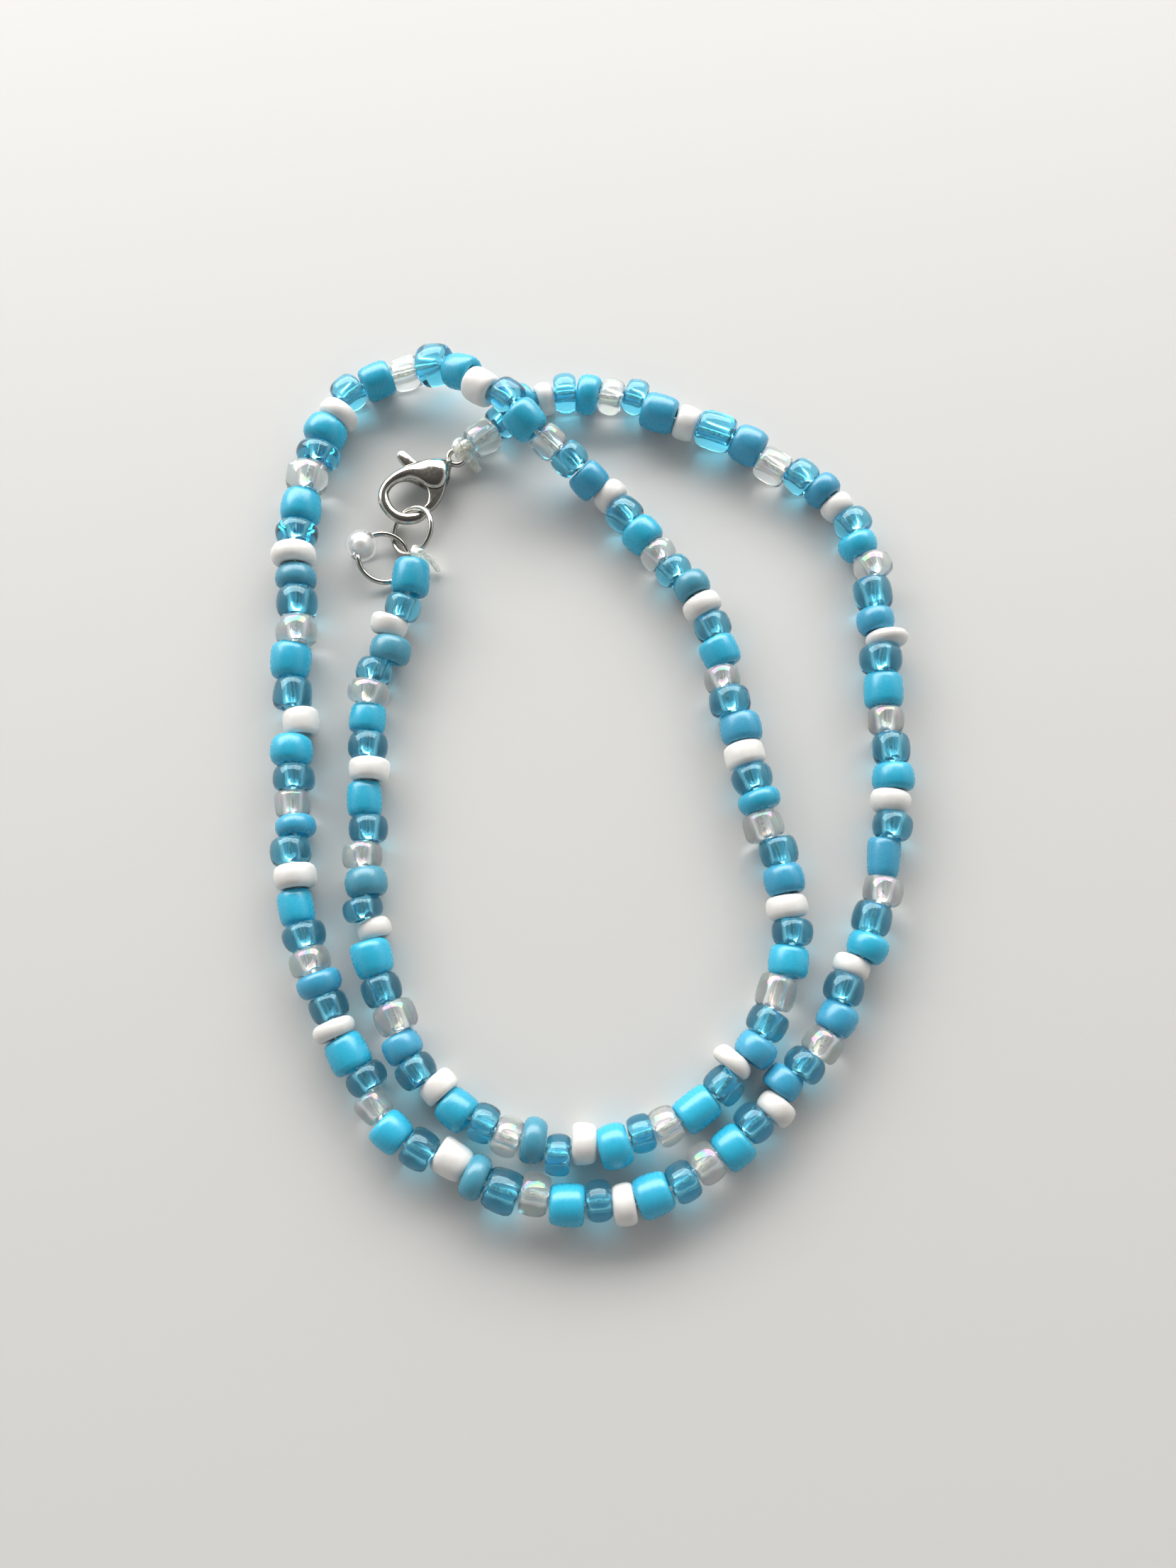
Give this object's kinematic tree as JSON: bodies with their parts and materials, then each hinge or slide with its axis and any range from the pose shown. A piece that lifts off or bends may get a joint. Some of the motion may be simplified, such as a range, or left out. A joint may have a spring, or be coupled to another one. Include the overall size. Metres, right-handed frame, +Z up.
{
  "type": "seed bead necklace",
  "caption": "String of blue, aqua, white and clear glass seed beads lying in two turns, closed by a claw clasp with a sprung lever on a jump ring, with a pearl on a second ring.",
  "frame": {"origin": "middle of the box round the lying necklace, on the surface that it rests on", "axes": "+Z up from the surface, +Y towards the side where the turns cross by the clasp, +X to the right seen from above"},
  "size_m": [0.0706, 0.0969, 0.0091],
  "materials": {
    "blue_glass": "opaque turquoise to steel blue glass, glossy",
    "aqua_glass": "transparent aqua blue glass, glossy",
    "white_glass": "opaque warm white glass, satin gloss",
    "clear_glass": "colourless glass with a rainbow lustre",
    "bright_metal": "polished nickel-coloured plating",
    "pearl": "white pearl lustre",
    "thread": "clear, slightly yellowed thread"
  },
  "bodies": {
    "necklace": {"bead_string_inner_turn": "blue_glass", "bead_string_outer_turn": "blue_glass", "clasp_body": "bright_metal", "jump_ring": "bright_metal", "charm_ring": "bright_metal", "pearl_bead": "pearl", "clasp_thread_tie": "thread", "ring_thread_tie": "thread"},
    "lever": {"clasp_lever": "bright_metal"}
  },
  "joints": [
    {"name": "lever_pivot", "type": "hinge", "parent": "necklace", "child": "lever", "pos_m": [-0.01745, 0.0334, 0.00149], "axis": [-0.0312, -0.0305, -0.999], "range_deg": [0, 20], "stiffness_Nm_per_rad": 0.002, "springref_deg": -8.59}
  ]
}
